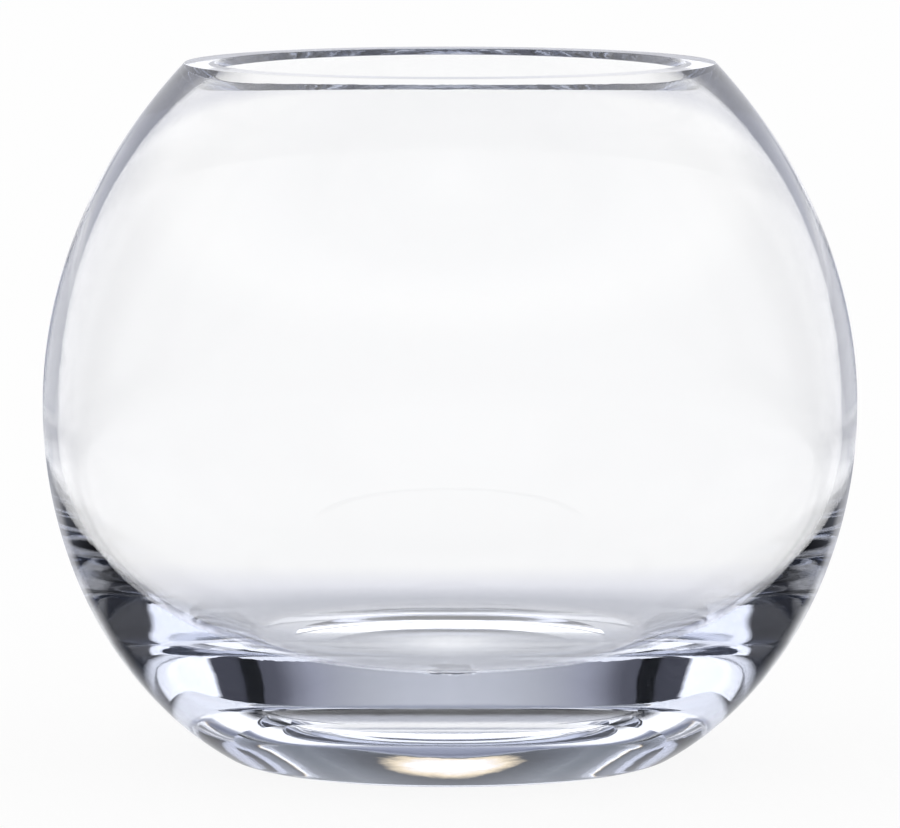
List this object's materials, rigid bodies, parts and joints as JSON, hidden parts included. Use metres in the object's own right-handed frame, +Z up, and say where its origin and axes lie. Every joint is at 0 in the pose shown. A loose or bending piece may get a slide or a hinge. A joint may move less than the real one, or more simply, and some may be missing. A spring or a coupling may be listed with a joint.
{
  "type": "rose bowl vase",
  "caption": "Round clear-glass bowl vase with a full belly, a wide flat-ground mouth and a heavy base, for holding water and cut flowers.",
  "frame": {"origin": "centre of the foot, on the surface that the bowl stands on", "axes": "+Z up along the bowl's axis of revolution, out of the mouth"},
  "size_m": [0.16, 0.16, 0.137],
  "materials": {
    "clear_glass": "clear colourless soda-lime glass, blown in a mould and fire-polished, with a ground and polished rim"
  },
  "bodies": {
    "root": {"glass_bowl": "clear_glass"}
  },
  "joints": []
}
